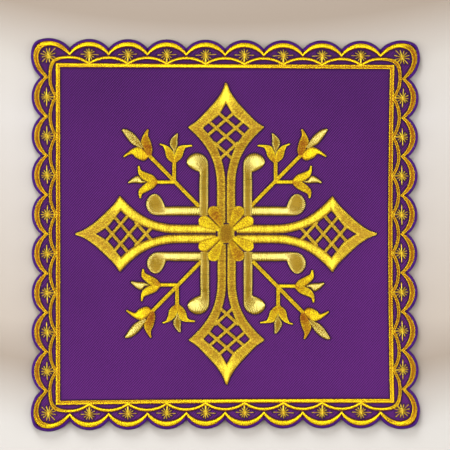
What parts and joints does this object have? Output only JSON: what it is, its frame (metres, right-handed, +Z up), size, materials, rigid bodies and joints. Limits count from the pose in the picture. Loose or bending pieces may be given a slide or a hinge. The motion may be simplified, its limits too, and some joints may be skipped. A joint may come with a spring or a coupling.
{
  "type": "chalice pall",
  "caption": "Stiff square chalice pall of violet cloth with a scalloped edge, a gold border and a gold embroidered cross with lily sprays.",
  "frame": {"origin": "middle of the pall's underside, on the surface it lies on", "axes": "+Z up through the cloth, +X and +Y along the two pairs of scalloped sides"},
  "size_m": [0.1604, 0.1622, 0.0043],
  "materials": {
    "violet_twill": "matte",
    "golden_thread": "satin",
    "pale_gold_thread": "satin",
    "old_gold_thread": "satin"
  },
  "bodies": {
    "root": {"panel": "violet_twill", "scallop_cord": "golden_thread", "border_lace": "golden_thread", "cross_arm_1": "old_gold_thread", "cross_arm_2": "old_gold_thread", "cross_arm_3": "old_gold_thread", "cross_arm_4": "old_gold_thread", "staff_1": "pale_gold_thread", "staff_2": "pale_gold_thread", "staff_3": "pale_gold_thread", "staff_4": "pale_gold_thread", "spray_1": "golden_thread", "lily_heart_1a": "pale_gold_thread", "lily_heart_1b": "pale_gold_thread", "lily_heart_1c": "pale_gold_thread", "spray_2": "golden_thread", "lily_heart_2a": "pale_gold_thread", "lily_heart_2b": "pale_gold_thread", "lily_heart_2c": "pale_gold_thread", "spray_3": "golden_thread", "lily_heart_3a": "pale_gold_thread", "lily_heart_3b": "pale_gold_thread", "lily_heart_3c": "pale_gold_thread", "spray_4": "golden_thread", "lily_heart_4a": "pale_gold_thread", "lily_heart_4b": "pale_gold_thread", "lily_heart_4c": "pale_gold_thread", "rosette_petal_1": "golden_thread", "rosette_petal_2": "golden_thread", "rosette_petal_3": "golden_thread", "rosette_petal_4": "golden_thread", "rosette_petal_5": "golden_thread", "rosette_petal_6": "golden_thread", "rosette_petal_7": "golden_thread", "rosette_petal_8": "golden_thread", "rosette_disc": "old_gold_thread"}
  },
  "joints": []
}
